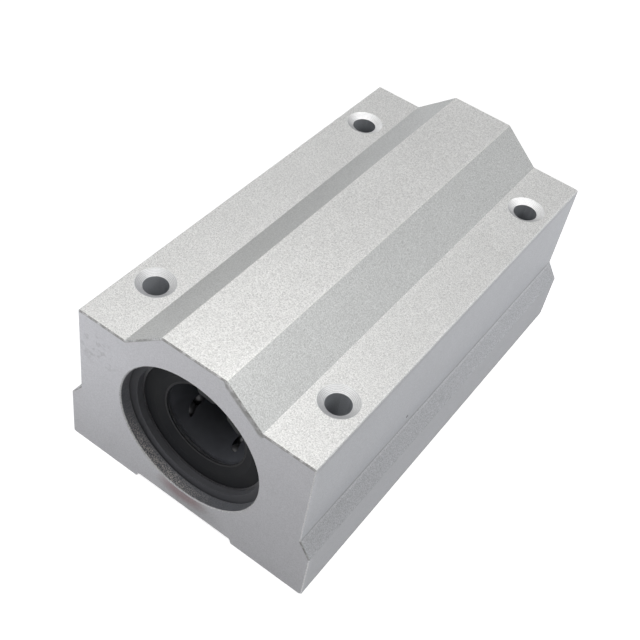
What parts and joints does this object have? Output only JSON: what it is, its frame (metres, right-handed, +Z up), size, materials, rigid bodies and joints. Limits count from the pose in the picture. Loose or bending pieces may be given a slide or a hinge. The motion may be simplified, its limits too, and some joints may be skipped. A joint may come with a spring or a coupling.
{
  "type": "linear bearing block",
  "caption": "Extruded housing block with two ball bearings end to end that slides along a round shaft and bolts to a carriage plate.",
  "frame": {"origin": "middle of the underside, where the block rests", "axes": "+Y along the shaft bore, towards the far end in the picture; +X across the block; +Z up, away from the mounting face"},
  "size_m": [0.05, 0.085, 0.0385],
  "materials": {
    "housing": "matte",
    "retaining_ring": "satin",
    "spacer": "satin",
    "sleeve": "satin",
    "cage": "matte",
    "seal": "matte",
    "stop_ring": "satin",
    "balls": "polished"
  },
  "bodies": {
    "root": {"housing": "housing", "front_retaining_ring": "retaining_ring", "rear_retaining_ring": "retaining_ring", "spacer_ring": "spacer", "front_bearing_sleeve": "sleeve", "front_bearing_cage": "cage", "front_outer_seal": "seal", "front_inner_seal": "seal", "front_outer_stop_ring": "stop_ring", "front_inner_stop_ring": "stop_ring", "front_ball_circuit_1": "balls", "front_ball_circuit_2": "balls", "front_ball_circuit_3": "balls", "front_ball_circuit_4": "balls", "front_ball_circuit_5": "balls", "rear_bearing_sleeve": "sleeve", "rear_bearing_cage": "cage", "rear_outer_seal": "seal", "rear_inner_seal": "seal", "rear_outer_stop_ring": "stop_ring", "rear_inner_stop_ring": "stop_ring", "rear_ball_circuit_1": "balls", "rear_ball_circuit_2": "balls", "rear_ball_circuit_3": "balls", "rear_ball_circuit_4": "balls", "rear_ball_circuit_5": "balls"}
  },
  "joints": []
}
